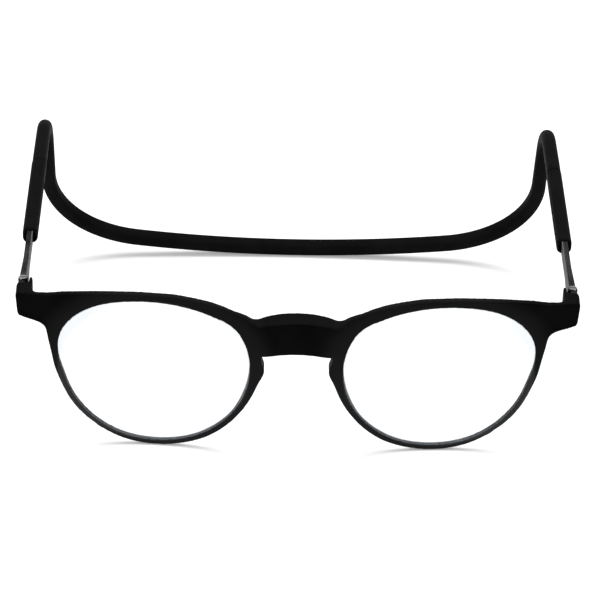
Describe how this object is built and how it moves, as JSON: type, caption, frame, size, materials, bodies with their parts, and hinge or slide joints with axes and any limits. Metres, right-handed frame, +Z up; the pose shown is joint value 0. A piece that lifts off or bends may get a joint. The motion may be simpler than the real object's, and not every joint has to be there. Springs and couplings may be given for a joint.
{
  "type": "magnetic bridge reading glasses",
  "caption": "Reading glasses that part at a magnetic bridge, with hinged half fronts on sliding arms and a soft band round the back of the head.",
  "frame": {"origin": "middle of the bounding box, on the surface that the rims and the back of the band stand on", "axes": "+X across the face, to the right as seen from in front, +Y from the front to the back of the head, +Z up"},
  "size_m": [0.1378, 0.1438, 0.0517],
  "materials": {
    "front_plastic": "matt black moulded plastic",
    "sleeve_plastic": "matt black moulded plastic",
    "band_rubber": "soft matt black",
    "arm_steel": "dark satin steel",
    "hinge_steel": "satin steel",
    "screw_steel": "bright steel",
    "magnet": "nickel plate",
    "shoe_plastic": "low friction plastic",
    "lens": "clear, polished"
  },
  "bodies": {
    "band": {"headband": "band_rubber", "left_sleeve": "sleeve_plastic", "right_sleeve": "sleeve_plastic"},
    "right_arm": {"right_arm": "arm_steel", "right_detent_shoe": "shoe_plastic"},
    "right_front": {"right_front": "front_plastic", "right_lens": "lens", "right_magnet": "magnet", "right_hinge_leaf": "hinge_steel", "right_hinge_screw": "screw_steel"},
    "left_arm": {"left_arm": "arm_steel", "left_detent_shoe": "shoe_plastic"},
    "left_front": {"left_front": "front_plastic", "left_lens": "lens", "left_magnet": "magnet", "left_hinge_leaf": "hinge_steel", "left_hinge_screw": "screw_steel"}
  },
  "joints": [
    {"name": "right_arm_slide", "type": "slide", "parent": "band", "child": "right_arm", "axis": [0, 0.9934, 0.1149], "range_m": [-0.011, 0.011]},
    {"name": "right_front_hinge", "type": "hinge", "parent": "right_arm", "child": "right_front", "pos_m": [0.067, -0.05978, 0.03965], "axis": [0, -0.1149, 0.9934], "range_deg": [0, 90]},
    {"name": "left_arm_slide", "type": "slide", "parent": "band", "child": "left_arm", "axis": [0, 0.9934, 0.1149], "range_m": [-0.011, 0.011]},
    {"name": "left_front_hinge", "type": "hinge", "parent": "left_arm", "child": "left_front", "pos_m": [-0.067, -0.05978, 0.03965], "axis": [0, 0.1149, -0.9934], "range_deg": [0, 90]}
  ]
}
